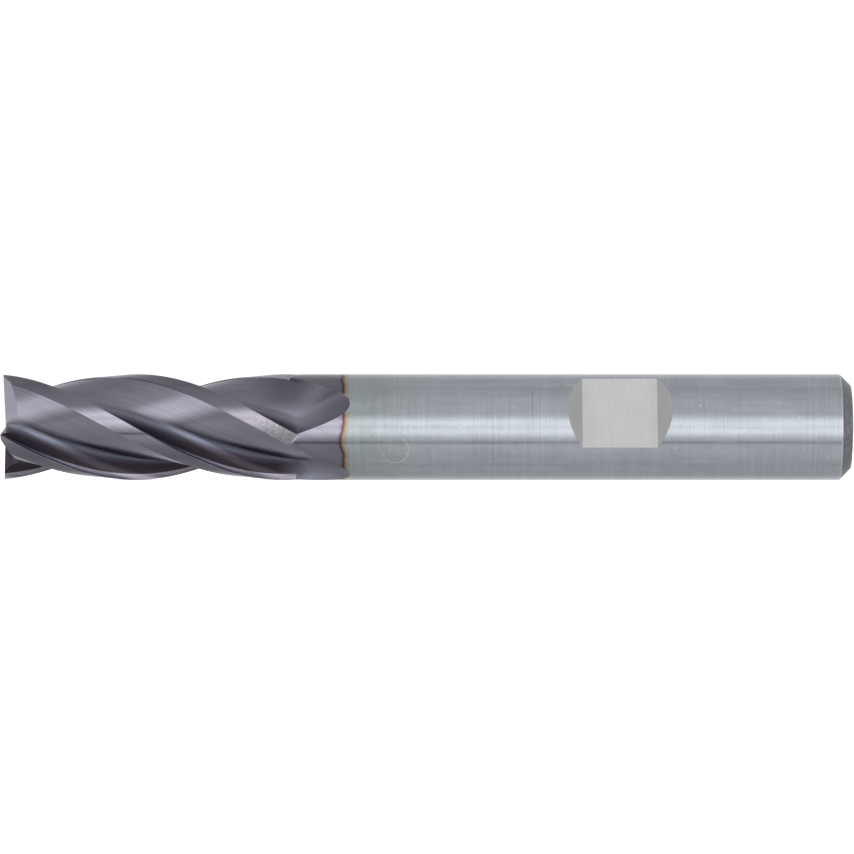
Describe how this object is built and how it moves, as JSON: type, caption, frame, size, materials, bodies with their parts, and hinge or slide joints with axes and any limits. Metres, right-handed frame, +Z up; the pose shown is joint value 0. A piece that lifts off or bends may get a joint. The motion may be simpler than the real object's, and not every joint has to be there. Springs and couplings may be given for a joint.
{
  "type": "end mill",
  "caption": "Right-hand helical end mill with a dark hard film on its cutting end and a bright round shank that has one side-lock flat.",
  "frame": {"origin": "centre of the flat end face of the shank", "axes": "+X along the tool axis from the cutting end to the shank end, +Z up, -Y towards the viewer; the side-lock flat faces -Y, turned 21.5 degrees up"},
  "size_m": [0.064, 0.008, 0.008],
  "materials": {
    "ground_steel": "fine ground, bright, with a darker rough chamfer",
    "nitride_film": "satin violet-grey nitride film with a blue, copper and gold fade at its edge"
  },
  "bodies": {
    "root": {"ground_body": "ground_steel", "hard_film": "nitride_film"}
  },
  "joints": []
}
